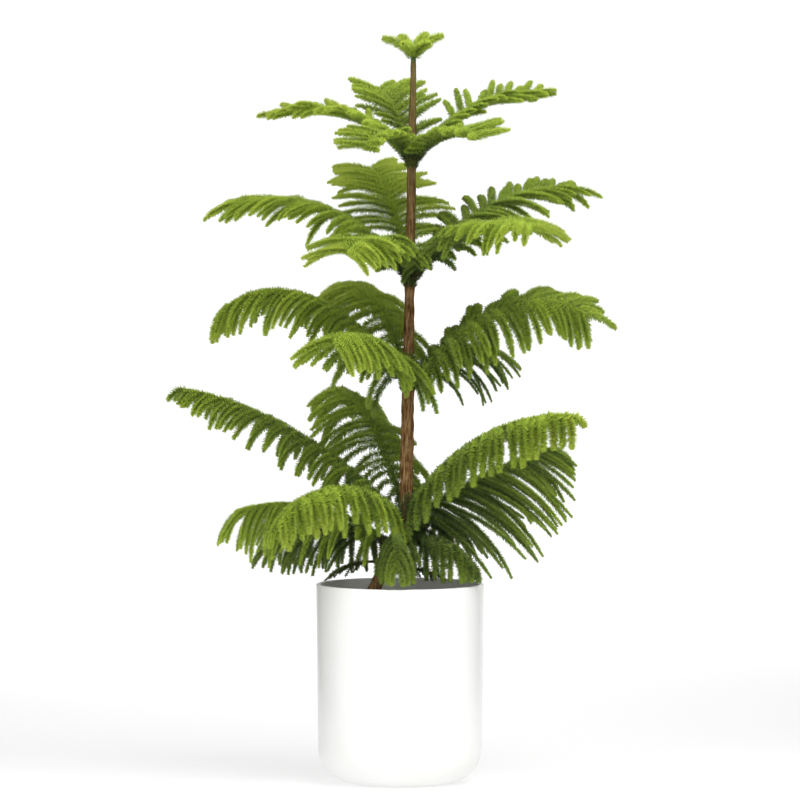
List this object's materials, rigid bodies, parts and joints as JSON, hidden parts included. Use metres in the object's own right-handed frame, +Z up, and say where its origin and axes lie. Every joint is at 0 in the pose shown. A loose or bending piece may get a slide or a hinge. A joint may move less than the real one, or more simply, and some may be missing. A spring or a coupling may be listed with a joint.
{
  "type": "potted norfolk island pine",
  "caption": "Young norfolk island pine with tiers of flat, feathery boughs round one trunk, planted in a plain white cylindrical pot.",
  "frame": {"origin": "centre of the pot's flat underside", "axes": "+Z up along the trunk; -Y is the front that the picture shows; +X is the plant's right-hand side as seen there"},
  "size_m": [0.5161, 0.4127, 0.8937],
  "materials": {
    "pot": "white satin glaze on a smooth cast pot",
    "soil": "dark crumbly peat potting mix",
    "bark": "reddish brown young bark, streaked, with scaly leaf bases",
    "foliage": "soft green needles, lime at the tips and dark underneath"
  },
  "bodies": {
    "root": {"pot": "pot", "soil": "soil", "trunk": "bark", "bough_1_left": "bark", "foliage_1_left": "foliage", "bough_1_back": "bark", "foliage_1_back": "foliage", "bough_1_right": "bark", "foliage_1_right": "foliage", "bough_1_front_right": "bark", "foliage_1_front_right": "foliage", "bough_1_front_left": "bark", "foliage_1_front_left": "foliage", "bough_2_left": "bark", "foliage_2_left": "foliage", "bough_2_back": "bark", "foliage_2_back": "foliage", "bough_2_right": "bark", "foliage_2_right": "foliage", "bough_2_front_right": "bark", "foliage_2_front_right": "foliage", "bough_2_front_left": "bark", "foliage_2_front_left": "foliage", "bough_3_left": "bark", "foliage_3_left": "foliage", "bough_3_back": "bark", "foliage_3_back": "foliage", "bough_3_back_right": "bark", "foliage_3_back_right": "foliage", "bough_3_right": "bark", "foliage_3_right": "foliage", "bough_3_front_left": "bark", "foliage_3_front_left": "foliage", "bough_4_left": "bark", "foliage_4_left": "foliage", "bough_4_back": "bark", "foliage_4_back": "foliage", "bough_4_right": "bark", "foliage_4_right": "foliage", "bough_4_front_right": "bark", "foliage_4_front_right": "foliage", "bough_4_front_left": "bark", "foliage_4_front_left": "foliage", "bough_5_left": "bark", "foliage_5_left": "foliage", "bough_5_front": "bark", "foliage_5_front": "foliage", "bough_5_right": "bark", "foliage_5_right": "foliage", "bough_5_back_right": "bark", "foliage_5_back_right": "foliage", "bough_5_back_left": "bark", "foliage_5_back_left": "foliage", "old_twig_left": "foliage", "old_twig_right": "foliage", "foliage_tip": "foliage"}
  },
  "joints": []
}
